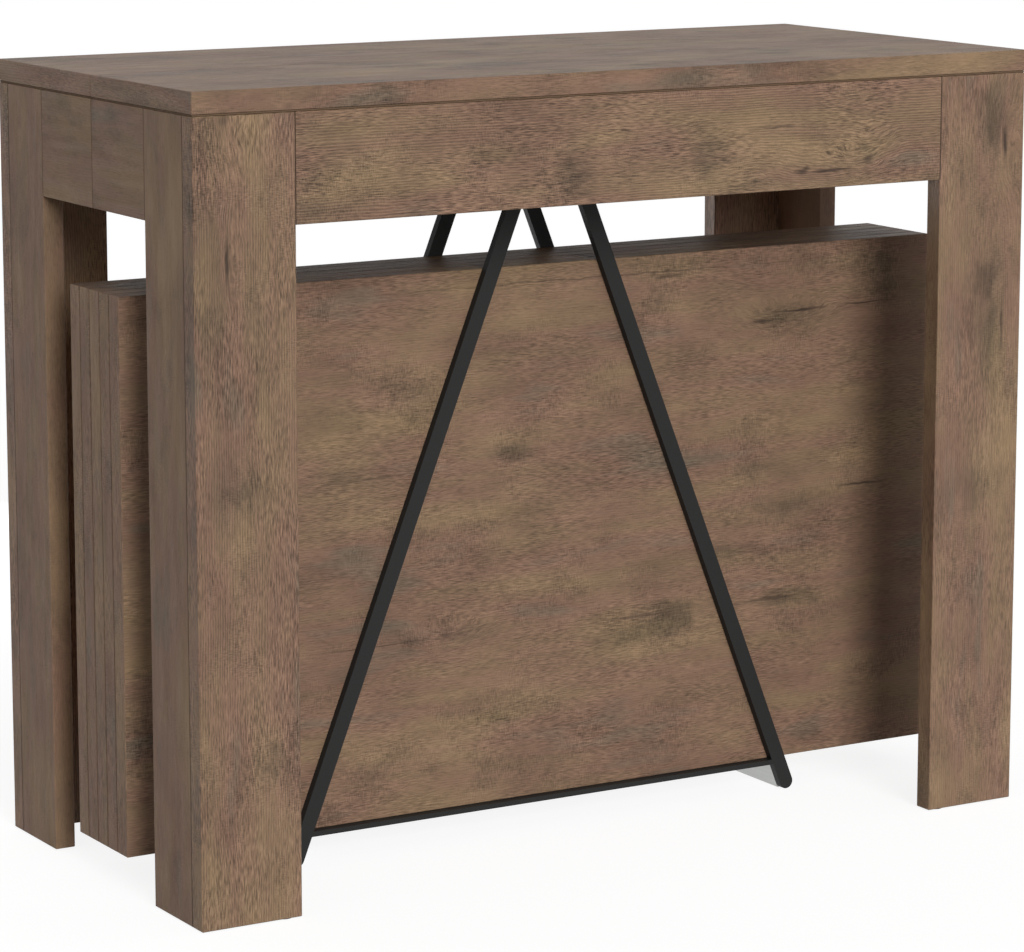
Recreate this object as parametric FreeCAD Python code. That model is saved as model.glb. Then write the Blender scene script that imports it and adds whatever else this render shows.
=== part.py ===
import FreeCAD, Part
import math
import os

# Extending console table, closed, with its leaves stored on edge in a steel rack beneath it.
# Millimetres. X is the width, Y the depth with the front at -Y, and Z is up from the floor.
# The front half draws away from the rear half along -Y on telescopic rails.

# Table, closed
table_width = 900.0
table_depth = 410.0
table_height = 748.0
board_thickness = 20.0
board_edge_bevel = 0.6
top_overhang = 0.5
shadow_gap = 2.0
half_seam = 0.4
leg_face_width = 100.0
leg_depth = 96.0
apron_height = 99.0

# Felt pads under the legs
pad_thickness = 1.0
pad_diameter = 16.0
pad_setback = 14.0

# Steel brackets behind the joints, and their screws
bracket_setback = 8.0
bracket_drop = 24.0
plate_thickness = 2.0
plate_length = 64.0
plate_margin = 8.0
screw_diameter = 4.0
screw_head_diameter = 8.0
screw_head_height = 2.0
screw_bite = 12.0
screw_edge = 14.0
top_stud_diameter = 6.0
top_stud_bite = 12.0

# Telescopic rails, one pack on each side
rail_stages = 10
rail_height = 36.0
rail_web = 2.4
rail_wall = 2.4
rail_lip = 2.0
rail_slot = 12.0
tongue_head = 6.0
running_gap = 0.4
rail_top_gap = 0.3
rail_end_gap = 2.5
rail_flange = 16.0
rail_packer = 1.0
rail_screws = 3
rail_screw_margin = 20.0
batten_thickness = 22.0
batten_end_gap = 5.0
batten_screws = 2
batten_screw_margin = 40.0

# Leaves
leaf_count = 5
leaf_gap = 0.8
hand_room = 74.8
leaf_seat_gap = 0.2

# Rack
rack_bar_width = 15.0
rack_bar_depth = 8.0
rack_bar_gap = 0.5
rack_foot_reach = 278.5
rack_head_gap = 7.5
rack_rod_diameter = 12.0
tray_thickness = 5.0
tray_height = 32.0
tie_thickness = 4.0
tie_floor_gap = 0.3

# Places that follow from the sizes above
slab_bottom = table_height - board_thickness
leg_top = slab_bottom - shadow_gap
apron_bottom = leg_top - apron_height
leg_outer_x = table_width / 2 - top_overhang
leg_outer_y = table_depth / 2 - top_overhang
leg_inner_x = leg_outer_x - board_thickness
leg_inner_y = leg_outer_y - board_thickness
apron_end_x = leg_outer_x - leg_face_width
side_apron_end_y = leg_outer_y - leg_depth
seam_y = half_seam / 2

rail_top = slab_bottom - rail_top_gap
rail_bottom = rail_top - rail_height
flange_bottom = rail_bottom - rail_flange
flange_middle = rail_bottom - rail_flange / 2
rail_end_y = leg_inner_y - plate_thickness - rail_end_gap
first_rail_x = leg_inner_x - rail_packer
channel_depth = tongue_head + 2 * running_gap
rail_pitch = rail_web + channel_depth + rail_lip + running_gap
batten_outer_x = first_rail_x - rail_stages * rail_pitch - rail_web

leaf_bottom = tray_height + leaf_seat_gap
leaf_top = apron_bottom - hand_room
leaf_pitch = board_thickness + leaf_gap
stack_half = (leaf_count * leaf_pitch - leaf_gap) / 2
bar_inner_y = stack_half + rack_bar_gap
bar_outer_y = bar_inner_y + rack_bar_depth

bar_radius = rack_bar_width / 2
apex_z = slab_bottom - rack_head_gap - bar_radius
bar_lean = math.atan2(rack_foot_reach, apex_z - bar_radius)

HALVES = (("front", -1), ("rear", 1))
SIDES = (("left", -1), ("right", 1))


def block(x, y, z):
    """A box between two corners, each axis given as a pair in either order."""
    corner = FreeCAD.Vector(min(x), min(y), min(z))
    return Part.makeBox(abs(x[1] - x[0]), abs(y[1] - y[0]), abs(z[1] - z[0]), corner)


def board(x, y, z):
    """A laminated board with finely bevelled edges."""
    solid = block(x, y, z)
    return solid.makeChamfer(board_edge_bevel, solid.Edges)


def rod(start, direction, diameter, length):
    return Part.makeCylinder(diameter / 2, length, start, direction)


def hexagon_bar(start, direction, diameter, length):
    """A six-sided bar whose corners lie on the diameter."""
    circle = Part.makeCircle(diameter / 2, start, direction)
    corners = circle.discretize(Number=7)
    return Part.Face(Part.makePolygon(corners)).extrude(direction * length)


def screw(seat, direction, length):
    """A hexagon-head screw, its head's underside at seat and its shank along direction.
    Six flats stand for the shank's thread."""
    head_base = seat - direction * screw_head_height
    head = hexagon_bar(head_base, direction, screw_head_diameter, screw_head_height)
    return head.fuse(hexagon_bar(seat, direction, screw_diameter, length)).removeSplitter()


def drilled(plate, screws):
    """The plate with a hole where each screw or stud passes through it."""
    for fastener in screws:
        plate = plate.cut(fastener)
    return plate


def spread(first, last, count):
    return [first + (last - first) * i / (count - 1) for i in range(count)]


def extruded_xz(points, y_from, y_to):
    """A closed outline in the XZ plane, carried along Y."""
    corners = [FreeCAD.Vector(x, y_from, z) for x, z in points]
    face = Part.Face(Part.makePolygon(corners + corners[:1]))
    return face.extrude(FreeCAD.Vector(0, y_to - y_from, 0))


def leg_and_apron_boards(half, sy):
    """One half of the table: its top, its apron, and a leg and half a side apron on each side."""
    face_y = (sy * leg_inner_y, sy * leg_outer_y)
    boards = {
        f"{half}_top": board(
            (-table_width / 2, table_width / 2),
            (sy * seam_y, sy * table_depth / 2),
            (slab_bottom, table_height)),
        f"{half}_apron": board((-apron_end_x, apron_end_x), face_y, (apron_bottom, leg_top)),
    }
    for side, sx in SIDES:
        side_x = (sx * leg_inner_x, sx * leg_outer_x)
        boards[f"{half}_{side}_leg_face"] = board(
            (sx * apron_end_x, sx * leg_outer_x), face_y, (pad_thickness, leg_top))
        boards[f"{half}_{side}_leg_side"] = board(
            side_x, (sy * side_apron_end_y, sy * leg_inner_y), (pad_thickness, leg_top))
        boards[f"{half}_{side}_side_apron"] = board(
            side_x, (sy * seam_y, sy * side_apron_end_y), (apron_bottom, leg_top))
    return boards


def felt_pads(sy):
    """Two round pads under each leg, one on each of its boards."""
    up = FreeCAD.Vector(0, 0, 1)
    face_y = sy * (leg_outer_y - board_thickness / 2)
    side_y = sy * (side_apron_end_y + pad_setback)
    pads = []
    for side, sx in SIDES:
        face_x = sx * (apron_end_x + pad_setback)
        side_x = sx * (leg_outer_x - board_thickness / 2)
        for x, y in ((face_x, face_y), (side_x, side_y)):
            pads.append(rod(FreeCAD.Vector(x, y, 0), up, pad_diameter, pad_thickness))
    return Part.makeCompound(pads)


def leg_top_bracket(sx, sy):
    """A plate on the leg's end that the top sits on, folded down behind the face board."""
    plate_z = (leg_top, slab_bottom)
    outer_x = sx * (leg_outer_x - bracket_setback)
    inner_x = sx * (apron_end_x + bracket_setback)
    fold_y = sy * leg_inner_y
    over_face = block((inner_x, outer_x), (fold_y, sy * (leg_outer_y - bracket_setback)), plate_z)
    over_side = block(
        (sx * leg_inner_x, outer_x), (fold_y, sy * (side_apron_end_y + bracket_setback)), plate_z)
    flange = block(
        (inner_x, sx * (leg_inner_x - bracket_setback)),
        (fold_y, sy * (leg_inner_y - plate_thickness)),
        (leg_top - bracket_drop, slab_bottom))
    return over_face.fuse([over_side, flange]).removeSplitter()


def brackets_and_screws(sy):
    """The brackets of one half, with the screws that hold them and the studs into the top."""
    up = FreeCAD.Vector(0, 0, 1)
    outward_y = FreeCAD.Vector(0, sy, 0)
    plate_z = (apron_bottom + plate_margin, flange_bottom - plate_margin)
    screw_z = sum(plate_z) / 2
    grip = plate_thickness + screw_bite
    along_plate = (screw_edge - plate_length / 2, plate_length / 2 - screw_edge)
    plates = []
    fasteners = []
    for side, sx in SIDES:
        outward_x = FreeCAD.Vector(sx, 0, 0)

        face_y = sy * (leg_inner_y - plate_thickness)
        flange_x = (apron_end_x + bracket_setback, leg_inner_x - bracket_setback)
        flange_z = leg_top - bracket_drop / 2
        group = [
            screw(FreeCAD.Vector(sx * x, face_y, flange_z), outward_y, grip)
            for x in (flange_x[0] + screw_edge, flange_x[1] - screw_edge)]
        stud_length = shadow_gap + 2 * top_stud_bite
        stud_z = leg_top - top_stud_bite
        stud_y = sy * (leg_inner_y + (board_thickness - bracket_setback) / 2)
        for x in (sum(flange_x) / 2, leg_inner_x):
            foot = FreeCAD.Vector(sx * x, stud_y, stud_z)
            group.append(hexagon_bar(foot, up, top_stud_diameter, stud_length))
        plates.append(drilled(leg_top_bracket(sx, sy), group))
        fasteners += group

        group = [
            screw(FreeCAD.Vector(sx * apron_end_x + offset, face_y, screw_z), outward_y, grip)
            for offset in along_plate]
        seam_plate = block(
            (sx * apron_end_x - plate_length / 2, sx * apron_end_x + plate_length / 2),
            (sy * leg_inner_y, face_y), plate_z)
        plates.append(drilled(seam_plate, group))
        fasteners += group

        face_x = sx * (leg_inner_x - plate_thickness)
        group = [
            screw(FreeCAD.Vector(face_x, sy * side_apron_end_y + offset, screw_z), outward_x, grip)
            for offset in along_plate]
        side_plate = block(
            (sx * leg_inner_x, face_x),
            (sy * side_apron_end_y - plate_length / 2, sy * side_apron_end_y + plate_length / 2),
            plate_z)
        plates.append(drilled(side_plate, group))
        fasteners += group
    return plates, fasteners


def rail_profile(has_tongue, has_channel):
    """A rail's section as (inward, height) points, the height counted from the rail's middle."""
    half = rail_height / 2
    slot_half = rail_slot / 2
    stem_half = slot_half - running_gap
    head_half = half - rail_wall - running_gap
    stem_end = -(running_gap + rail_lip + running_gap)
    head_end = stem_end - tongue_head
    lip_inner = rail_web + channel_depth
    lip_outer = lip_inner + rail_lip
    lower = [(0, -half)]
    if has_tongue:
        lower = [(head_end, -head_half), (stem_end, -head_half), (stem_end, -stem_half),
                 (0, -stem_half), (0, -half)]
    if has_channel:
        lower += [(lip_outer, -half), (lip_outer, -slot_half), (lip_inner, -slot_half),
                  (lip_inner, rail_wall - half), (rail_web, rail_wall - half)]
    else:
        lower += [(rail_web, -half)]
    return lower + [(inward, -height) for inward, height in reversed(lower)]


def rail(sx, stage, has_flange=False):
    """A rail of one side's pack. Its tongue runs in the channel of the rail outside it."""
    outer_x = first_rail_x - stage * rail_pitch
    middle_z = rail_bottom + rail_height / 2
    profile = rail_profile(stage > 0, stage < rail_stages)
    points = [(sx * (outer_x - inward), middle_z + height) for inward, height in profile]
    solid = extruded_xz(points, -rail_end_y, rail_end_y)
    if has_flange:
        flange = block(
            (sx * outer_x, sx * (outer_x - rail_web)),
            (-rail_end_y, rail_end_y),
            (flange_bottom, rail_bottom))
        solid = solid.fuse(flange).removeSplitter()
    return solid


def fixed_rails():
    """The outermost rails, screwed through packers to the rear half's side boards."""
    made = {}
    packers = []
    fasteners = []
    screw_length = rail_web + rail_packer + screw_bite
    for side, sx in SIDES:
        outward = FreeCAD.Vector(sx, 0, 0)
        seat_x = sx * (first_rail_x - rail_web)
        group = [
            screw(FreeCAD.Vector(seat_x, y, flange_middle), outward, screw_length)
            for y in spread(rail_screw_margin, rail_end_y - rail_screw_margin, rail_screws)]
        made[f"{side}_fixed_rail"] = drilled(rail(sx, 0, True), group)
        packer = block(
            (sx * first_rail_x, sx * leg_inner_x),
            (seam_y, rail_end_y),
            (flange_bottom, rail_bottom))
        packers.append(drilled(packer, group))
        fasteners += group
    made["rail_packers"] = Part.makeCompound(packers)
    return made, fasteners


def front_rails():
    """The innermost rails, screwed to battens that hang from the front top."""
    made = {}
    battens = []
    fasteners = []
    up = FreeCAD.Vector(0, 0, 1)
    batten_y = (-leg_inner_y, -(seam_y + batten_end_gap))
    for side, sx in SIDES:
        inward = FreeCAD.Vector(-sx, 0, 0)
        seat_x = sx * (batten_outer_x + rail_web)
        group = [
            screw(FreeCAD.Vector(seat_x, -y, flange_middle), inward, rail_web + screw_bite)
            for y in spread(rail_screw_margin, rail_end_y - rail_screw_margin, rail_screws)]
        made[f"{side}_front_rail"] = drilled(rail(sx, rail_stages, True), group)
        middle_x = sx * (batten_outer_x - batten_thickness / 2)
        for y in spread(-batten_screw_margin, -leg_inner_y + batten_screw_margin, batten_screws):
            seat = FreeCAD.Vector(middle_x, y, flange_bottom)
            fasteners.append(screw(seat, up, slab_bottom - flange_bottom + screw_bite))
        battens.append(block(
            (sx * batten_outer_x, sx * (batten_outer_x - batten_thickness)),
            batten_y, (flange_bottom, slab_bottom)))
        fasteners += group
    made["front_rail_battens"] = Part.makeCompound(battens)
    return made, fasteners


def rack_bar(sx, sy):
    """A leaning flat bar with round ends, cut on the centre plane where it meets its twin."""
    foot = FreeCAD.Vector(sx * rack_foot_reach, 0, bar_radius)
    apex = FreeCAD.Vector(0, 0, apex_z)
    along = (apex - foot).normalize()
    across = FreeCAD.Vector(along.z, 0, -along.x) * bar_radius
    edges = [
        Part.LineSegment(foot + across, apex + across),
        Part.Arc(apex + across, apex + along * bar_radius, apex - across),
        Part.LineSegment(apex - across, foot - across),
        Part.Arc(foot - across, foot - along * bar_radius, foot + across)]
    outline = Part.Face(Part.Wire([edge.toShape() for edge in edges]))
    bar = outline.extrude(FreeCAD.Vector(0, rack_bar_depth, 0))
    bar.translate(FreeCAD.Vector(0, min(sy * bar_inner_y, sy * bar_outer_y), 0))
    own_side = block((0, sx * table_width), (-table_depth, table_depth), (0, table_height))
    return bar.common(own_side)


def bar_line_x(z, offset):
    """Where a line parallel to a bar's middle, offset towards the rack's centre, stands at z."""
    return (apex_z - z) * math.tan(bar_lean) - offset / math.cos(bar_lean)


def rack():
    """Two A-shaped frames joined by a tray, two foot ties and a rod at the apex."""
    pieces = {}
    for half, sy in HALVES:
        for side, sx in SIDES:
            pieces[f"rack_{half}_{side}_bar"] = rack_bar(sx, sy)
    tray_z = (tray_height - tray_thickness, tray_height)
    low_x, high_x = (bar_line_x(z, bar_radius) for z in tray_z)
    pieces["rack_tray"] = extruded_xz(
        [(-low_x, tray_z[0]), (low_x, tray_z[0]), (high_x, tray_z[1]), (-high_x, tray_z[1])],
        -bar_outer_y, bar_outer_y)
    tie_z = (tie_floor_gap, tray_height)
    for side, sx in SIDES:
        inner = [(sx * bar_line_x(z, bar_radius), z) for z in tie_z]
        outer = [(sx * bar_line_x(z, bar_radius - tie_thickness), z) for z in reversed(tie_z)]
        pieces[f"rack_{side}_foot_tie"] = extruded_xz(inner + outer, -bar_inner_y, bar_inner_y)
    pieces["rack_apex_rod"] = rod(
        FreeCAD.Vector(0, -bar_inner_y, apex_z), FreeCAD.Vector(0, 1, 0), rack_rod_diameter, 2 * bar_inner_y)
    return pieces


def leaves():
    """Leaves on edge, numbered from the front."""
    made = {}
    for i in range(leaf_count):
        front_y = -stack_half + i * leaf_pitch
        made[f"leaf_{i + 1}"] = board(
            (-table_width / 2, table_width / 2),
            (front_y, front_y + board_thickness),
            (leaf_bottom, leaf_top))
    return made


def all_pieces():
    pieces = {}
    rail_sets = {"front": front_rails(), "rear": fixed_rails()}
    for half, sy in HALVES:
        pieces.update(leg_and_apron_boards(half, sy))
        pieces[f"{half}_felt_pads"] = felt_pads(sy)
        plates, fasteners = brackets_and_screws(sy)
        rails, rail_fasteners = rail_sets[half]
        pieces[f"{half}_brackets"] = Part.makeCompound(plates)
        pieces[f"{half}_screws"] = Part.makeCompound(fasteners + rail_fasteners)
        pieces.update(rails)
    for side, sx in SIDES:
        for stage in range(1, rail_stages):
            pieces[f"{side}_rail_{stage}"] = rail(sx, stage)
    pieces.update(rack())
    pieces.update(leaves())
    return pieces


os.makedirs("parts", exist_ok=True)
for name, shape in all_pieces().items():
    shape.exportStep(f"parts/{name}.step")
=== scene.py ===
import math

import bmesh
import bpy
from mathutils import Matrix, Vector


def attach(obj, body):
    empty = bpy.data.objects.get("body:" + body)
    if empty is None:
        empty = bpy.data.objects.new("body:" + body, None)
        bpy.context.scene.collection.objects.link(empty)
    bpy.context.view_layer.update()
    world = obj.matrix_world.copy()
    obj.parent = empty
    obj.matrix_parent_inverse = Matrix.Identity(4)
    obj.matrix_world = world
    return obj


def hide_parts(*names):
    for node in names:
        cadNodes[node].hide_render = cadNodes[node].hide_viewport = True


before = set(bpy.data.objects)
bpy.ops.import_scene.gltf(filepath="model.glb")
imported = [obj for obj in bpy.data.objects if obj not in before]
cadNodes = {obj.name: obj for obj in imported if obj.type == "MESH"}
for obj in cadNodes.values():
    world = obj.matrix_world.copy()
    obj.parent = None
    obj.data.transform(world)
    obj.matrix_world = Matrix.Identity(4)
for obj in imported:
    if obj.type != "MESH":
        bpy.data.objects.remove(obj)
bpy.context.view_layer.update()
scene = bpy.context.scene
mm = 0.001
print("frame loaded,", len(cadNodes), "nodes")


def linear(hexColour):
    channels = [int(hexColour[i:i + 2], 16) / 255 for i in (0, 2, 4)]
    return [c / 12.92 if c <= 0.04045 else ((c + 0.055) / 1.055) ** 2.4 for c in channels] + [1]


def feed(tree, node, inputs):
    for key, value in inputs.items():
        if isinstance(value, bpy.types.NodeSocket):
            tree.links.new(value, node.inputs[key])
        else:
            node.inputs[key].default_value = value


def addNode(tree, kind, inputs=None, **settings):
    node = tree.nodes.new(kind)
    for name, value in settings.items():
        setattr(node, name, value)
    feed(tree, node, inputs or {})
    return node


def addObject(name, data):
    thing = bpy.data.objects.new(name, data)
    scene.collection.objects.link(thing)
    return thing


def newFinish(name, sockets):
    finish = bpy.data.materials.new(name)
    finish.use_nodes = True
    shader = finish.node_tree.nodes["Principled BSDF"]
    feed(finish.node_tree, shader, sockets)
    return finish, finish.node_tree, shader


def setTones(ramp, tones):
    stops = ramp.color_ramp.elements
    for number, (position, colour) in enumerate(tones):
        stop = stops[number] if number < len(stops) else stops.new(position)
        stop.position = position
        stop.color = linear(colour)


def perUnit(sizes):
    return [1 / (size * mm) for size in sizes]  # a Mapping scale that makes one unit that many mm


# Aged oak: a printed brown oak paper under matt melamine, pressed with a wood grain.
# The eye gets soft bands of pink, straw and grey brown, smoky patches, dark checks and fine grain lines.
oakPrint = {
    "tones": ((0.33, "7D6C5B"), (0.43, "896B59"), (0.54, "866D57"), (0.66, "8C7459")),  # from grey to straw
    "brightness": 1.03,
    "waveDrift": 7,  # mm that the grain wanders from side to side
    "ringWander": 3.5,
    "ringRipple": 1.3,
    "poreLimits": (0.56, 0.72),
    "cloudLimits": (0.56, 0.76),
    "cloudDepth": 0.6,
    # the smoke's tint, also painted on faces that look up as sheen and shade
    "smokeSheenShadeTint": "C8CDCD",
    "smokeLimits": (0.35, 0.65),
    "smokeShares": (0.5, 1.5),  # a smoky mark is thinner in some places than in others
    "checkColour": "3E3129",
    "glossLimits": (0.3, 0.7),
    "roughness": (0.6, 0.48),
    "grainDepth": 0.34,  # mm, pressed deeper than the real one to show
}
# Each field's size along, across and through the grain in mm, its levels of detail and their roughness
oakFields = {
    "wave": (150, 45, 60, 1, 0.55),
    "smoke": (80, 60, 60, 3, 0.55),
    "saw": (1.1, 5, 5, 1, 0.55),  # short cuts across the grain, drawn coarser to show
    "patch": (170, 80, 80, 2, 0.55),
    "zone": (90, 40, 60, 2, 0.55),
    "band": (150, 26, 30, 2, 0.55),  # from here on the fields follow the bent grain
    "streak": (70, 7, 7, 3, 0.55),
    "pore": (8, 1.2, 1.2, 1, 0.55),
    "stroke": (9, 0.9, 0.9, 1, 0.55),  # broken lines, drawn coarser to show
    "ring": (70, 8, 30, 2, 0.5),  # a wave repeats every 0.314 units, so 2.5 mm, drawn coarser to show
    "mottle": (48, 22, 22, 3, 0.6),
}
fieldStep = (7.3, 3.1, 0)  # keeps one field's pattern apart from the next
# Each kind of line: the field that rules it, where that makes it weakest and strongest, its weakest share,
# half the width of its edges and the board's own share of it
oakLines = {
    "ring": ("zone", 0.42, 0.60, 0.3, 0.5, "Rings"),
    "stroke": ("zone", 0.60, 0.42, 0.3, 0.2, "Grain"),
    "saw": ("smoke", 0.48, 0.62, 0, 0.16, "Saw"),
    "mottle": ("smoke", 0.40, 0.62, 0.5, 0.5, None),
}
# How far each field lightens the print, and how far it stands out of the surface
oakDepths = {
    "ring": 0.4,
    "stroke": 0.85,
    "streak": 0.25,
    "mottle": 0.85,
    "patch": 0.9,
    "pore": -0.16,
    "saw": 0.4,
}
oakReliefs = {
    "ring": 1,
    "mottle": 0.8,
    "stroke": 0.8,
    "pore": -0.3,
    "saw": 0.45,
    "check": -0.8,
}

figure = bpy.data.node_groups.new("oakPrint", "ShaderNodeTree")
# Smoke carries the smoky marks and also the painted sheen and shade of faces that look up
for name, kind in (("Place", "Vector"), ("Bend", "Float"), ("Smoke", "Float"), ("Check", "Float"),
                   ("Grain", "Float"), ("Rings", "Float"), ("Saw", "Float")):
    figure.interface.new_socket(name, in_out="INPUT", socket_type="NodeSocket" + kind)
for name, kind in (("Colour", "Color"), ("Relief", "Float"), ("Roughness", "Float")):
    figure.interface.new_socket(name, in_out="OUTPUT", socket_type="NodeSocket" + kind)
given = addNode(figure, "NodeGroupInput").outputs

fields = {}
apart = addNode(figure, "ShaderNodeSeparateXYZ", {0: given["Place"]}).outputs
source = given["Place"]
for number, (name, (*sizes, detail, rough)) in enumerate(oakFields.items()):
    if name == "band":
        drift = addNode(figure, "ShaderNodeMath", {
            0: fields["wave"], 1: oakPrint["waveDrift"] * mm, 2: given["Bend"]}, operation="MULTIPLY_ADD")
        across = addNode(figure, "ShaderNodeMath", {0: apart[1], 1: drift.outputs[0]})
        source = addNode(figure, "ShaderNodeCombineXYZ", {
            0: apart[0], 1: across.outputs[0], 2: apart[2]}).outputs[0]
    scaled = addNode(figure, "ShaderNodeMapping", {
        "Vector": source, "Location": [number * step for step in fieldStep], "Scale": perUnit(sizes)})
    if name == "ring":
        fields[name] = addNode(figure, "ShaderNodeTexWave", {
            "Vector": scaled.outputs[0], "Scale": 1, "Distortion": oakPrint["ringWander"], "Detail": detail,
            "Detail Scale": oakPrint["ringRipple"], "Detail Roughness": rough},
            bands_direction="Y").outputs["Fac"]
    else:
        fields[name] = addNode(figure, "ShaderNodeTexNoise", {
            "Vector": scaled.outputs[0], "Scale": 1, "Detail": detail, "Roughness": rough}).outputs[0]

# tone runs from grey through pink and brown to straw
tone = addNode(figure, "ShaderNodeMix", {0: 0.5, 2: fields["band"], 3: fields["patch"]})
ramp = addNode(figure, "ShaderNodeValToRGB", {"Fac": tone.outputs[0]})
setTones(ramp, oakPrint["tones"])

# crisp light and dark lines, stronger in some zones, with short saw marks across them in others
low, high = oakPrint["poreLimits"]
pores = addNode(figure, "ShaderNodeMapRange", {
    "Value": fields["pore"], "From Min": low, "From Max": high}, interpolation_type="SMOOTHSTEP")
crisp = {"pore": pores.outputs[0], "check": given["Check"]}
for name, (ruler, low, high, weak, edge, share) in oakLines.items():
    line = addNode(figure, "ShaderNodeMapRange", {
        "Value": fields[name], "From Min": 0.5 - edge, "From Max": 0.5 + edge, "To Min": -0.5, "To Max": 0.5})
    strong = addNode(figure, "ShaderNodeMapRange", {
        "Value": fields[ruler], "From Min": low, "From Max": high, "To Min": weak, "To Max": 1})
    here = addNode(figure, "ShaderNodeMath", {
        0: line.outputs[0], 1: strong.outputs[0]}, operation="MULTIPLY")
    if share:
        here = addNode(figure, "ShaderNodeMath", {0: here.outputs[0], 1: given[share]}, operation="MULTIPLY")
    crisp[name] = here.outputs[0]
level = oakPrint["brightness"] - (oakDepths["streak"] + oakDepths["patch"]) / 2
for name, depth in oakDepths.items():
    level = addNode(figure, "ShaderNodeMath", {
        0: crisp.get(name, fields[name]), 1: depth, 2: level}, operation="MULTIPLY_ADD").outputs[0]
lined = addNode(figure, "ShaderNodeVectorMath", {0: ramp.outputs[0], "Scale": level}, operation="SCALE")

# smoky patches darken and grey the print, and faces that look up get the same darkening and greying as
# painted sheen and shade; checks go nearly black
low, high = oakPrint["cloudLimits"]
cloud = addNode(figure, "ShaderNodeMapRange", {
    "Value": fields["smoke"], "From Min": low, "From Max": high}, interpolation_type="SMOOTHSTEP")
low, high = oakPrint["smokeLimits"]
least, most = oakPrint["smokeShares"]
thin = addNode(figure, "ShaderNodeMapRange", {
    "Value": fields["smoke"], "From Min": low, "From Max": high, "To Min": least, "To Max": most})
uneven = addNode(figure, "ShaderNodeMath", {0: given["Smoke"], 1: thin.outputs[0]}, operation="MULTIPLY")
haze = addNode(figure, "ShaderNodeMath", {
    0: cloud.outputs[0], 1: oakPrint["cloudDepth"], 2: uneven.outputs[0]},
    operation="MULTIPLY_ADD", use_clamp=True)
smokeSheenShadeMix = addNode(figure, "ShaderNodeMix", {
    0: haze.outputs[0], 6: lined.outputs[0], 7: linear(oakPrint["smokeSheenShadeTint"])},
    data_type="RGBA", blend_type="MULTIPLY")
checked = addNode(figure, "ShaderNodeMix", {
    0: given["Check"], 6: smokeSheenShadeMix.outputs[2], 7: linear(oakPrint["checkColour"])}, data_type="RGBA")

# the same lines, pressed in
relief = 0
for name, share in oakReliefs.items():
    relief = addNode(figure, "ShaderNodeMath", {
        0: crisp[name], 1: share, 2: relief}, operation="MULTIPLY_ADD").outputs[0]
low, high = oakPrint["glossLimits"]
dull, shiny = oakPrint["roughness"]
gloss = addNode(figure, "ShaderNodeMapRange", {
    "Value": fields["streak"], "From Min": low, "From Max": high, "To Min": dull, "To Max": shiny})
addNode(figure, "NodeGroupOutput", {
    "Colour": checked.outputs[2], "Relief": relief, "Roughness": gloss.outputs[0]})

# Which way each kind of board's grain runs: along, across and through it. The first kind in a name counts.
boardAxes = {
    "side_apron": "yzx",
    "apron": "xzy",
    "leg_face": "zxy",
    "leg_side": "zyx",
    "top": "xyz",
    "leaf": "xzy",
}
# How strongly the broken lines, rings and saw marks show on each kind of board, or on one board
boardGrain = {
    "side_apron": (0.3, 0.2, 0.4),
    "apron": (1.3, 1.0, 1.1),
    "leg_face": (1.3, 0.9, 1.1),
    "leg_side": (0.3, 0.2, 0.4),
    "top": (0.7, 0.5, 0.8),
    "leaf": (0.85, 0.25, 1),
    "front_right_leg_face": (0.9, 0.5, 0.8),
}
usualShine = 0.25
boardShine = {"leaf": 0.2, "leg_side": 0.19, "side_apron": 0.19}  # these are rubbed more matt than the rest
upwardSheenAndShade = {"top": 0.45, "leaf": 0.7}  # faces that look up get more smoke: painted sheen on the tops, painted shade on the leaves' tops under the table
boardStep = (0.83, 0.47, 0.31)  # how far apart in m two boards' stretches of the print lie
leaning = {  # how far a face's normal leans along an axis
    "end": 0.6,  # a board's end, along the grain
    "up": (0.5, 0.9),
    "seam": 0.8,  # above this the face runs along a seam, not across it
}
# Where a board meets its neighbour: axis, middle, distance from it, the line's lowest height and darkness
seamHalf = 0.7
leafCount = 5
leafPitch = 20.8
leafHalf = 10
boardSeams = {
    "apron": (("x", 0, 349.5, 600, 0.7),),
    "leg_face": (("x", 0, 349.5, 627, 0.7), ("y", 0, 184.5, 0, 0.7)),
    "leg_side": (("y", 0, 184.5, 0, 0.7), ("y", 0, 108.5, 627, 0.4)),
    "side_apron": (("y", 0, 108.5, 600, 0.4), ("y", 0, 0, 600, 0.4)),
}
for number in range(1, leafCount + 1):
    middle = (number - (leafCount + 1) / 2) * leafPitch
    boardSeams["leaf_%d" % number] = tuple(
        ("y", middle + side * leafHalf, 0, 0, 0.3) for side in (-1, 1) if 1 <= number + side <= leafCount)
# How a mark's edge is torn: the tears' size, and how far each kind is torn along, across and through, in mm
markEdge = {
    "grain": (26, 9, 20),
    "detail": 3,
    "Smoke": (60, 24, 0),
    "Check": (30, 7, 0),
    "Bend": (40, 20, 0),
    "checkWidth": 0.65,  # a check is this much slimmer than its mark
    "core": 0.15,  # share of a mark at full strength
    "through": 1000,  # m, so a mark goes through the whole board
}
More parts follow.
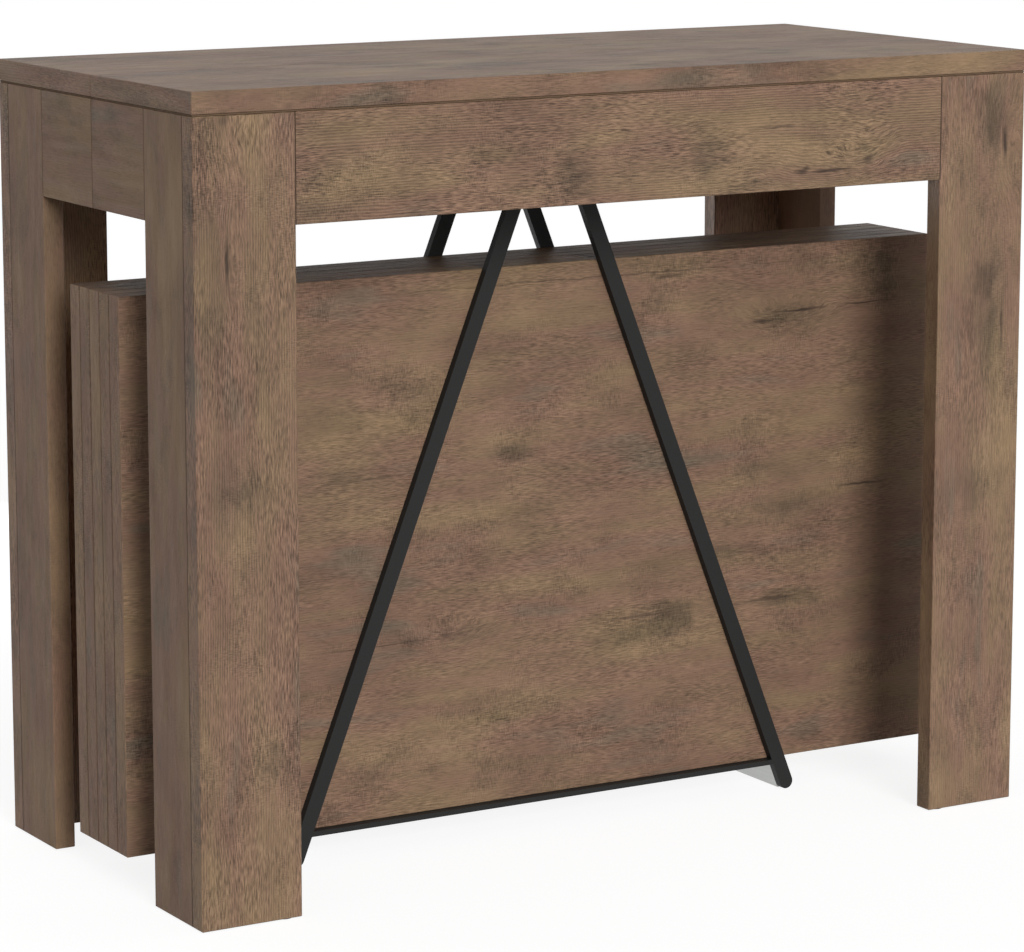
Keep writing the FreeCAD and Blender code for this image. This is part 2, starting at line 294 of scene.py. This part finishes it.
# Marks seen on single boards: kind, place along and across the grain in mm from the middle of the table
# and the floor, half its length and width, and its amount, which for a bend is m that the grain moves
boardMarks = {
    "leaf_1": (
        ("Check", 60, 535, 330, 1.6, 0.55), ("Smoke", -150, 532, 40, 10, 0.5),
        ("Check", 140, 531, 16, 5, 0.6), ("Check", 296, 486, 40, 3.5, 0.95),
        ("Check", 248, 478, 20, 7, 0.75), ("Smoke", 270, 482, 90, 16, 0.6),
        ("Check", 372, 488, 40, 2.4, 0.9), ("Check", 370, 303, 36, 3, 0.9),
        ("Bend", 270, 480, 90, 26, 0.012), ("Smoke", 146, 190, 34, 24, 0.95),
        ("Check", 100, 196, 60, 3, 0.5), ("Check", 265, 197, 60, 3.5, 0.6),
        ("Smoke", 270, 196, 80, 14, 0.8), ("Smoke", 85, 175, 55, 16, 0.55),
        ("Check", -190, 200, 95, 1.8, 0.55), ("Check", -112, 202, 14, 5, 0.55),
        ("Smoke", -85, 202, 40, 14, 0.75), ("Bend", -112, 203, 60, 22, 0.010),
        ("Smoke", -210, 366, 80, 18, 0.65), ("Check", -180, 362, 80, 2.4, 0.35),
        ("Smoke", -235, 420, 60, 22, 0.5), ("Smoke", -40, 372, 50, 12, 0.6),
        ("Smoke", 20, 460, 40, 18, 0.4), ("Smoke", 290, 330, 80, 30, 0.5),
        ("Smoke", 220, 250, 70, 12, 0.6), ("Smoke", 285, 290, 70, 20, 0.5),
        ("Smoke", -250, 275, 40, 20, 0.6)),
    "front_apron": (
        ("Smoke", -62, 655, 26, 32, 0.8), ("Smoke", 82, 668, 26, 42, 0.95),
        ("Check", -8, 692, 9, 4, 0.6), ("Check", 222, 643, 34, 3.6, 0.95),
        ("Check", 190, 645, 10, 8, 0.8), ("Bend", 215, 645, 80, 30, 0.008),
        ("Smoke", 265, 660, 18, 16, 0.8), ("Check", 265, 652, 7, 10, 0.6),
        ("Bend", 265, 660, 50, 30, 0.007), ("Check", 160, 687, 40, 2.2, 0.6),
        ("Smoke", -300, 700, 30, 22, 0.45), ("Smoke", 130, 636, 60, 10, 0.5)),
    "front_left_leg_face": (
        ("Smoke", 560, -432, 140, 34, 0.55), ("Smoke", 520, -390, 100, 22, 0.5),
        ("Smoke", 400, -425, 60, 44, 0.6), ("Smoke", 395, -400, 25, 30, 0.5),
        ("Check", 600, -417, 30, 4.5, 0.9), ("Check", 722, -419, 12, 9, 0.5),
        ("Bend", 715, -419, 60, 26, 0.006), ("Bend", 605, -417, 70, 16, 0.004),
        ("Smoke", 150, -412, 60, 14, 0.3)),
    "front_right_leg_face": (
        ("Check", 655, 427, 24, 7, 0.95), ("Smoke", 690, 412, 50, 26, 0.85),
        ("Bend", 655, 427, 80, 26, 0.012), ("Smoke", 530, 405, 26, 22, 0.8),
        ("Check", 480, 427, 36, 4, 0.75), ("Smoke", 460, 410, 70, 24, 0.5),
        ("Smoke", 325, 395, 36, 44, 0.5), ("Smoke", 300, 360, 50, 16, 0.45),
        ("Check", 470, 391, 30, 3, 0.3)),
}


def oakBoard(name, kind, shift):
    finish, tree, shader = newFinish(
        "agedOak_" + name, {"Specular IOR Level": boardShine.get(kind, usualShine)})
    order = ["xyz".index(axis) for axis in boardAxes[kind]]
    spot = addNode(tree, "ShaderNodeTexCoord")
    here = addNode(tree, "ShaderNodeSeparateXYZ", {0: spot.outputs["Object"]}).outputs
    facing = addNode(tree, "ShaderNodeSeparateXYZ", {0: spot.outputs["Normal"]}).outputs
    onFace = addNode(tree, "ShaderNodeCombineXYZ", {i: here[order[i]] for i in range(3)})
    onEnd = addNode(tree, "ShaderNodeCombineXYZ", {i: here[order[(i + 1) % 3]] for i in range(3)})
    turned = addNode(tree, "ShaderNodeMath", {0: facing[order[0]]}, operation="ABSOLUTE")
    atEnd = addNode(tree, "ShaderNodeMath", {
        0: turned.outputs[0], 1: leaning["end"]}, operation="GREATER_THAN")
    place = addNode(tree, "ShaderNodeMix", {
        0: atEnd.outputs[0], 4: onFace.outputs[0], 5: onEnd.outputs[0]}, data_type="VECTOR").outputs[1]

    # the board's own marks, with ragged edges
    found = {"Smoke": 0, "Check": 0, "Bend": 0}
    ragged = {}
    marks = boardMarks.get(name, ())
    # painted sheen and shade: a face that looks up gets a share of smoke, which greys and darkens it
    if kind in upwardSheenAndShade:
        low, high = leaning["up"]
        found["Smoke"] = addNode(tree, "ShaderNodeMapRange", {
            "Value": facing[2], "From Min": low, "From Max": high, "To Max": upwardSheenAndShade[kind]}).outputs[0]
    if marks:
        fine = addNode(tree, "ShaderNodeMapping", {"Vector": place, "Scale": perUnit(markEdge["grain"])})
        edge = addNode(tree, "ShaderNodeTexNoise", {
            "Vector": fine.outputs[0], "Scale": 1, "Detail": markEdge["detail"]})
        offset = addNode(tree, "ShaderNodeVectorMath", {
            0: edge.outputs["Color"], 1: (0.5, 0.5, 0.5)}, operation="SUBTRACT")
        for mark in found:
            tear = [size * mm for size in markEdge[mark]]
            ragged[mark] = addNode(tree, "ShaderNodeVectorMath", {
                0: offset.outputs[0], 1: tear, 2: place}, operation="MULTIPLY_ADD").outputs[0]
    for mark, along, across, length, width, amount in marks:
        slim = markEdge["checkWidth"] if mark == "Check" else 1
        local = addNode(tree, "ShaderNodeMapping", {
            "Vector": ragged[mark], "Location": (along * mm, across * mm, 0),
            "Scale": (length * mm, width * mm * slim, markEdge["through"])}, vector_type="TEXTURE")
        reach = addNode(tree, "ShaderNodeVectorMath", {0: local.outputs[0]}, operation="LENGTH")
        fade = addNode(tree, "ShaderNodeMapRange", {
            "Value": reach.outputs["Value"], "From Min": 1, "From Max": markEdge["core"], "To Max": amount},
            interpolation_type="SMOOTHSTEP")
        found[mark] = addNode(tree, "ShaderNodeMath", {0: fade.outputs[0], 1: found[mark]}).outputs[0]

    # dark lines where it meets its neighbours
    for axis, middle, distance, lowest, dark in boardSeams.get(name, boardSeams.get(kind, ())):
        number = "xyz".index(axis)
        away = addNode(tree, "ShaderNodeMath", {0: here[number], 1: middle * mm}, operation="SUBTRACT")
        side = addNode(tree, "ShaderNodeMath", {0: away.outputs[0]}, operation="ABSOLUTE")
        line = addNode(tree, "ShaderNodeMath", {
            0: side.outputs[0], 1: distance * mm, 2: seamHalf * mm}, operation="COMPARE")
        above = addNode(tree, "ShaderNodeMath", {0: here[2], 1: lowest * mm}, operation="GREATER_THAN")
        tilt = addNode(tree, "ShaderNodeMath", {0: facing[number]}, operation="ABSOLUTE")
        crossed = addNode(tree, "ShaderNodeMath", {
            0: tilt.outputs[0], 1: leaning["seam"]}, operation="LESS_THAN")
        both = addNode(tree, "ShaderNodeMath", {
            0: line.outputs[0], 1: above.outputs[0]}, operation="MULTIPLY")
        seamDarkening = addNode(tree, "ShaderNodeMath", {
            0: both.outputs[0], 1: crossed.outputs[0]}, operation="MULTIPLY")
        found["Check"] = addNode(tree, "ShaderNodeMath", {
            0: seamDarkening.outputs[0], 1: dark, 2: found["Check"]},
            operation="MULTIPLY_ADD", use_clamp=True).outputs[0]

    moved = addNode(tree, "ShaderNodeMapping", {"Vector": place, "Location": shift})
    grain = dict(zip(("Grain", "Rings", "Saw"), boardGrain.get(name, boardGrain[kind])))
    oak = addNode(tree, "ShaderNodeGroup", {
        "Place": moved.outputs[0], **grain, **found}, node_tree=figure).outputs
    bump = addNode(tree, "ShaderNodeBump", {
        "Strength": 1, "Distance": oakPrint["grainDepth"] * mm, "Height": oak["Relief"]})
    feed(tree, shader, {
        "Base Color": oak["Colour"], "Roughness": oak["Roughness"], "Normal": bump.outputs[0]})
    return finish


boards = sorted(name for name in cadNodes if name.startswith("leaf_") or name.endswith(
    ("_top", "_apron", "_leg_face", "_leg_side")))
for number, name in enumerate(boards):
    kind = next(kind for kind in boardAxes if kind in name)
    shift = [number * step for step in boardStep]
    cadNodes[name].material_slots[0].material = oakBoard(name, kind, shift)
print("oak boards dressed,", len(boards))


# A finish with one fine pattern, sized in mm along x, y and z, that sets its colour, gloss and relief
def grainedFinish(look):
    finish, tree, shader = newFinish(look["name"], look["sockets"])
    spot = addNode(tree, "ShaderNodeTexCoord")
    sized = addNode(tree, "ShaderNodeMapping", {
        "Vector": spot.outputs["Object"], "Scale": perUnit(look["grain"])})
    grain = addNode(tree, "ShaderNodeTexNoise", {
        "Vector": sized.outputs[0], "Scale": 1, "Detail": look["detail"],
        "Distortion": look.get("twist", 0)}).outputs[0]
    shade = addNode(tree, "ShaderNodeValToRGB", {"Fac": grain})
    setTones(shade, look["tones"])
    feed(tree, shader, {"Base Color": shade.outputs[0]})
    if "roughness" in look:
        first, last = look["roughness"]
        matt = addNode(tree, "ShaderNodeMapRange", {"Value": grain, "To Min": first, "To Max": last})
        feed(tree, shader, {"Roughness": matt.outputs[0]})
    if "bump" in look:
        strength, depth = look["bump"]
        skin = addNode(tree, "ShaderNodeBump", {
            "Strength": strength, "Distance": depth * mm, "Height": grain})
        feed(tree, shader, {"Normal": skin.outputs[0]})
    return finish


# Powder coat: anthracite polyester powder baked on steel, matt with a fine orange-peel
powderCoat = grainedFinish({
    "name": "powderCoatedSteel",
    "sockets": {"Specular IOR Level": 0.2},
    "grain": (1.2, 1.2, 1.2),
    "detail": 2,
    "tones": ((0.3, "202020"), (0.7, "292928")),
    "roughness": (0.45, 0.62),
    "bump": (0.25, 0.1),
})
# Satin steel: plate cut and brushed along its length, pale grey
satinSteel = grainedFinish({
    "name": "satinGreySteel",
    "sockets": {"Metallic": 1},
    "grain": (1, 60, 1),  # brush lines, drawn coarser to show
    "detail": 2,
    "tones": ((0, "A8AAA8"), (1, "C3C4C2")),
    "roughness": (0.34, 0.5),
})
# Anodised aluminium: extruded rails with faint die lines along them, clear anodised
anodised = grainedFinish({
    "name": "anodisedAluminium",
    "sockets": {"Metallic": 1},
    "grain": (0.9, 400, 0.9),  # die lines, drawn coarser to show
    "detail": 3,
    "tones": ((0, "B9BBBD"), (1, "DADBDC")),
    "roughness": (0.28, 0.46),
    "bump": (0.2, 0.05),
})
# Zinc plate: bright passivated zinc on pressed steel, with a cloudy bluish bloom
zincPlate = grainedFinish({
    "name": "zincPlatedSteel",
    "sockets": {"Metallic": 1},
    "grain": (9, 9, 9),
    "detail": 4,
    "tones": ((0.3, "AEB2B6"), (0.7, "D2D2CC")),
    "roughness": (0.22, 0.46),
})
# Beech: planed unfinished battens, pale pinkish tan with short darker flecks along the grain
beech = grainedFinish({
    "name": "planedBeech",
    "sockets": {"Specular IOR Level": 0.3},
    "grain": (1.6, 12, 1.6),
    "detail": 2,
    "tones": ((0.3, "A87C55"), (0.6, "CBA57C")),
    "roughness": (0.7, 0.55),
})
# Polypropylene: moulded black packers with a spark-eroded grain
packerPlastic = grainedFinish({
    "name": "mouldedPolypropylene",
    "sockets": {"IOR": 1.49},
    "grain": (0.8, 0.8, 0.8),  # spark pits, drawn coarser to show
    "detail": 3,
    "tones": ((0, "161617"), (1, "27272A")),
    "roughness": (0.42, 0.6),
    "bump": (0.4, 0.08),
})
# Felt: pressed wool pads, dull and hairy
padFelt = grainedFinish({
    "name": "pressedFelt",
    "sockets": {"Roughness": 0.95, "Specular IOR Level": 0.15, "Sheen Weight": 0.4},
    "grain": (0.7, 0.7, 0.7),  # hairs, drawn coarser to show
    "detail": 4,
    "twist": 1.5,
    "tones": ((0.3, "4A423A"), (0.7, "786C60")),
    "bump": (0.8, 0.3),
})
# Rubber: a dark brown extruded seal in the gap under the top, matt with a faint bloom; it is painted shade, a
# strip put where there is only the gap's shade, its brown chosen for how dark that line looks
gapShadeRubber = grainedFinish({
    "name": "gapShadeStripRubber",
    "sockets": {"Specular IOR Level": 0.25},
    "grain": (3, 3, 3),
    "detail": 3,
    "tones": ((0, "66523F"), (1, "77604B")),
    "roughness": (0.65, 0.85),
})

for name, node in cadNodes.items():
    if name in boards:
        continue
    if name.startswith("rack_"):
        finish = satinSteel if name.endswith("_tie") else powderCoat
    elif name == "front_rail_battens":
        finish = beech
    elif name == "rail_packers":
        finish = packerPlastic
    elif "_rail" in name:
        finish = anodised
    elif name.endswith("_felt_pads"):
        finish = padFelt
    else:
        finish = zincPlate
    node.material_slots[0].material = finish
print("steel, aluminium and small parts dressed")


def grow(name, tree, values, seats, layers):
    cloud = bpy.data.meshes.new(name + "Seats")
    cloud.from_pydata(seats, [], [])
    for layerName, kind, rows in layers:
        layer = cloud.attributes.new(layerName, kind, "POINT")
        for item, row in zip(layer.data, rows):
            setattr(item, "vector" if kind == "FLOAT_VECTOR" else "value", row)
    piece = addObject(name, cloud)
    modifier = piece.modifiers.new(name, "NODES")
    modifier.node_group = tree
    for item in tree.interface.items_tree:
        if item.in_out == "INPUT" and item.name in values:
            modifier[item.identifier] = values[item.name]
    evaluated = piece.evaluated_get(bpy.context.evaluated_depsgraph_get())
    grown = bpy.data.meshes.new_from_object(evaluated)
    piece.modifiers.clear()
    piece.data = grown
    return piece


# Screws: zinc-plated hexagon heads, their corners turned off to a cone, and plain studs into the top
screwSizes = {"Head": 8, "Height": 2, "Crown": 6.6}  # mm across the corners, high, and across the flat top
shankSides = 16
coneSides = 36
screwTree = bpy.data.node_groups.new("hexScrews", "GeometryNodeTree")
screwTree.interface.new_socket("Geometry", in_out="OUTPUT", socket_type="NodeSocketGeometry")
screwInputs = {"Geometry": "Geometry", **{size: "Float" for size in screwSizes}, "Finish": "Material"}
for name, kind in screwInputs.items():
    screwTree.interface.new_socket(name, in_out="INPUT", socket_type="NodeSocket" + kind)
put = addNode(screwTree, "NodeGroupInput").outputs
length = {}
for name, size, factor in (("radius", "Head", 0.5), ("wide", "Head", 1), ("crown", "Crown", 0.5),
                           ("height", "Height", 1), ("halfHeight", "Height", 0.5)):
    length[name] = addNode(screwTree, "ShaderNodeMath", {
        0: put[size], 1: factor * mm}, operation="MULTIPLY").outputs[0]
hexagon = addNode(screwTree, "GeometryNodeMeshCylinder", {
    "Vertices": 6, "Radius": length["radius"], "Depth": length["height"]})
turnedTop = addNode(screwTree, "GeometryNodeMeshCone", {
    "Vertices": coneSides, "Radius Top": length["crown"], "Radius Bottom": length["wide"],
    "Depth": length["height"]})
lift = addNode(screwTree, "ShaderNodeCombineXYZ", {2: length["halfHeight"]})
lifted = addNode(screwTree, "GeometryNodeTransform", {
    "Geometry": hexagon.outputs["Mesh"], "Translation": lift.outputs[0]})
head = addNode(screwTree, "GeometryNodeMeshBoolean", {}, operation="INTERSECT", solver="EXACT")
for shape in (lifted, turnedTop):
    screwTree.links.new(shape.outputs[0], head.inputs["Mesh 2"])
shank = addNode(screwTree, "GeometryNodeMeshCylinder", {  # 1 mm long and thick, scaled for each screw
    "Vertices": shankSides, "Radius": 0.5 * mm, "Depth": mm})
sunk = addNode(screwTree, "GeometryNodeTransform", {
    "Geometry": shank.outputs["Mesh"], "Translation": (0, 0, -0.5 * mm)})
read = {}
for name, kind in (("axis", "FLOAT_VECTOR"), ("reach", "FLOAT"), ("gauge", "FLOAT"), ("headed", "BOOLEAN")):
    read[name] = addNode(
        screwTree, "GeometryNodeInputNamedAttribute", {"Name": name}, data_type=kind).outputs[0]
aim = addNode(screwTree, "FunctionNodeAlignRotationToVector", {"Vector": read["axis"]}, axis="Z")
stretch = addNode(screwTree, "ShaderNodeCombineXYZ", {0: read["gauge"], 1: read["gauge"], 2: read["reach"]})
heads = addNode(screwTree, "GeometryNodeInstanceOnPoints", {
    "Points": put["Geometry"], "Selection": read["headed"], "Instance": head.outputs[0],
    "Rotation": aim.outputs[0]})
shanks = addNode(screwTree, "GeometryNodeInstanceOnPoints", {
    "Points": put["Geometry"], "Instance": sunk.outputs[0], "Rotation": aim.outputs[0],
    "Scale": stretch.outputs[0]})
joined = addNode(screwTree, "GeometryNodeJoinGeometry")
for group in (shanks, heads):
    screwTree.links.new(group.outputs[0], joined.inputs[0])
real = addNode(screwTree, "GeometryNodeRealizeInstances", {0: joined.outputs[0]})
plated = addNode(screwTree, "GeometryNodeSetMaterial", {
    "Geometry": real.outputs[0], "Material": put["Finish"]})
addNode(screwTree, "NodeGroupOutput", {0: plated.outputs[0]})

# What the screws hold: seats in mm across and to the front or rear of the table's middle and above the floor,
# then the way that the heads face, the reach from the seat, and on which half they are
fixings = {
    "legPlate": ((371.5, 407.5), (182.5,), 714, "middle", 14, "both"),
    "seamPlate": ((331.5, 367.5), (182.5,), 651.35, "middle", 14, "both"),
    "sidePlate": ((427.5,), (90.5, 126.5), 651.35, "inwards", 14, "both"),
    "topStud": ((389.5, 429.5), (190.5,), 740, "up", 26, "both"),
    "frontRail": ((312.5,), (20, 90, 160), 683.7, "outwards", 14.4, "front"),
    "fixedRail": ((426.1,), (20, 90, 160), 683.7, "inwards", 15.4, "rear"),
    "batten": ((299.1,), (40, 144.5), 675.7, "down", 64.3, "front"),
}
screwGauge = 4
studGauge = 6
for half, sy in (("front", -1), ("rear", 1)):
    seats = []
    layers = {"axis": [], "reach": [], "gauge": [], "headed": []}
    for sx in (-1, 1):
        ways = {"middle": (0, -sy, 0), "inwards": (-sx, 0, 0), "outwards": (sx, 0, 0),
                "up": (0, 0, 1), "down": (0, 0, -1)}
        for held, (across, deep, height, way, reach, where) in fixings.items():
            if where not in (half, "both"):
                continue
            isStud = held == "topStud"
            for x, y in ((x, y) for x in across for y in deep):
                seats.append(Vector((sx * x, sy * y, height)) * mm)
                layers["axis"].append(ways[way])
                layers["reach"].append(reach)
                layers["gauge"].append(studGauge if isStud else screwGauge)
                layers["headed"].append(not isStud)
    screws = grow(
        half + "_hex_screws", screwTree, {**screwSizes, "Finish": zincPlate}, seats,
        (("axis", "FLOAT_VECTOR", layers["axis"]), ("reach", "FLOAT", layers["reach"]),
         ("gauge", "FLOAT", layers["gauge"]), ("headed", "BOOLEAN", layers["headed"])))
    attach(screws, half + "_half")
    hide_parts(half + "_screws")
print("screws and studs placed")


# Seal: a round-nosed strip that runs round each half between the boards and the top, put there as painted
# shade that darkens the gap
seal = {
    "bottom": 726.1,
    "top": 727.9,
    "frontY": 204.2,  # its nose, 0.3 mm behind the boards' faces
    "sideX": 449.2,
    "seamY": 0.4,
    "depth": 3.8,
    "nose": 1.2,  # how far the profile is rounded
    "noseSteps": 6,
}
rise = (seal["top"] - seal["bottom"]) / 2
middle = (seal["top"] + seal["bottom"]) / 2
profile = [(seal["depth"], -rise), (seal["depth"], rise)]  # depth behind the nose, height from the middle
for step in range(seal["noseSteps"] + 1):
    angle = math.radians(90 - 180 * step / seal["noseSteps"])
    profile.append((seal["nose"] * (1 - math.cos(angle)), rise * math.sin(angle)))
count = len(profile)
for half, sy in (("front", -1), ("rear", 1)):
    # corners of the strip's path with the direction that leads inwards from its nose
    path = (((-seal["sideX"], sy * seal["seamY"]), (1, 0)),
            ((-seal["sideX"], sy * seal["frontY"]), (1, -sy)),
            ((seal["sideX"], sy * seal["frontY"]), (-1, -sy)),
            ((seal["sideX"], sy * seal["seamY"]), (-1, 0)))
    points = []
    for (x, y), (inX, inY) in path:
        points += [Vector((x + inX * deep, y + inY * deep, middle + up)) * mm for deep, up in profile]
    last = (len(path) - 1) * count
    faces = [tuple(range(count)), tuple(range(last, last + count))]
    for start in range(0, last, count):
        for i in range(count):
            j = (i + 1) % count
            faces.append((start + i, start + j, start + count + j, start + count + i))
    mesh = bpy.data.meshes.new(half + "_gap_shade_seal")
    mesh.from_pydata(points, [], faces)
    shell = bmesh.new()
    shell.from_mesh(mesh)
    bmesh.ops.recalc_face_normals(shell, faces=shell.faces)
    shell.to_mesh(mesh)
    shell.free()
    mesh.materials.append(gapShadeRubber)
    strip = addObject(half + "_gap_shade_seal", mesh)
    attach(strip, half + "_half")
print("gap seals laid")


# Floor and backdrop: a pale sweep that reads as plain white and keeps a faint shadow
studio = {
    "floorReach": 30,
    "floorColour": "A4A4A2",
    "shadowShare": "8A8A8A",  # what is left of the floor's own shading in the camera's sight
    "floorGlow": 0.86,
    "white": (1, 1, 1, 1),
    "ambient": 0.345,
    "keyStrength": 2.0,
    "keySpread": 25,
    "keyTurn": 8.5,  # degrees to the left of the front
    "keyHeight": 20,
}


def inSight(tree):
    path = addNode(tree, "ShaderNodeLightPath").outputs
    seen = path["Is Camera Ray"]
    for ray in ("Is Glossy Ray", "Is Transmission Ray"):
        seen = addNode(tree, "ShaderNodeMath", {0: seen, 1: path[ray]}, operation="MAXIMUM").outputs[0]
    return seen


reach = studio["floorReach"]
floorMesh = bpy.data.meshes.new("studioFloor")
floorMesh.from_pydata(
    [(-reach, -reach, 0), (reach, -reach, 0), (reach, reach, 0), (-reach, reach, 0)], [], [(0, 1, 2, 3)])
floor = addObject("studioFloor", floorMesh)
sweep = bpy.data.materials.new("paleSweep")
sweep.use_nodes = True
tree = sweep.node_tree
tree.nodes.clear()
plain = addNode(tree, "ShaderNodeBsdfDiffuse", {"Color": linear(studio["floorColour"])})
shaded = addNode(tree, "ShaderNodeBsdfDiffuse", {"Color": linear(studio["shadowShare"])})
glow = addNode(tree, "ShaderNodeEmission", {"Strength": studio["floorGlow"]})
bright = addNode(tree, "ShaderNodeAddShader", {0: shaded.outputs[0], 1: glow.outputs[0]})
mixed = addNode(tree, "ShaderNodeMixShader", {0: inSight(tree), 1: plain.outputs[0], 2: bright.outputs[0]})
addNode(tree, "ShaderNodeOutputMaterial", {"Surface": mixed.outputs[0]})
floorMesh.materials.append(sweep)

# White to the camera and in reflections, a softer light on the object
world = bpy.data.worlds.new("whiteStudio")
world.use_nodes = True
tree = world.node_tree
tree.nodes.clear()
soft = addNode(tree, "ShaderNodeBackground", {"Color": studio["white"], "Strength": studio["ambient"]})
white = addNode(tree, "ShaderNodeBackground", {"Color": studio["white"], "Strength": 1})
mixed = addNode(tree, "ShaderNodeMixShader", {0: inSight(tree), 1: soft.outputs[0], 2: white.outputs[0]})
addNode(tree, "ShaderNodeOutputWorld", {"Surface": mixed.outputs[0]})
scene.world = world

turn, fall = math.radians(studio["keyTurn"]), math.radians(studio["keyHeight"])
keyLamp = bpy.data.lights.new("keyLamp", "SUN")
keyLamp.energy = studio["keyStrength"]
keyLamp.angle = math.radians(studio["keySpread"])
key = addObject("keyLamp", keyLamp)
travel = Vector((math.sin(turn) * math.cos(fall), math.cos(turn) * math.cos(fall), -math.sin(fall)))
key.rotation_euler = travel.to_track_quat("-Z", "Y").to_euler()

# A soft box low behind the table lights its back, below the leaves' tops so that none of them shines
backFill = {
    "place": (0, 1.75, 0.3),
    "wide": 0.8,
    "tall": 0.46,
    "watts": 6,
}
fillLamp = bpy.data.lights.new("backFill", "AREA")
fillLamp.shape = "RECTANGLE"
fillLamp.size = backFill["wide"]
fillLamp.size_y = backFill["tall"]
fillLamp.energy = backFill["watts"]
fillBox = addObject("backFill", fillLamp)
fillBox.location = backFill["place"]
fillBox.rotation_euler = Vector((0, -1, 0)).to_track_quat("-Z", "Y").to_euler()
fillBox.visible_camera = False

# Camera at the photograph's viewing angle
view = {
    "place": (-1.9622, -3.2780, 1.0511),
    "turn": 30.802,  # degrees to the right of straight back
    "dip": 9.695,
    "lens": 140.37,
    "shiftY": -0.06,
    "farthest": 100,
}
cameraData = bpy.data.cameras.new("photoCamera")
cameraData.lens = view["lens"]
cameraData.shift_y = view["shiftY"]
cameraData.clip_end = view["farthest"]
camera = addObject("photoCamera", cameraData)
camera.location = view["place"]
camera.rotation_euler = (math.radians(90 - view["dip"]), 0, -math.radians(view["turn"]))
scene.camera = camera
scene.view_settings.view_transform = "Standard"
print("studio and camera set")
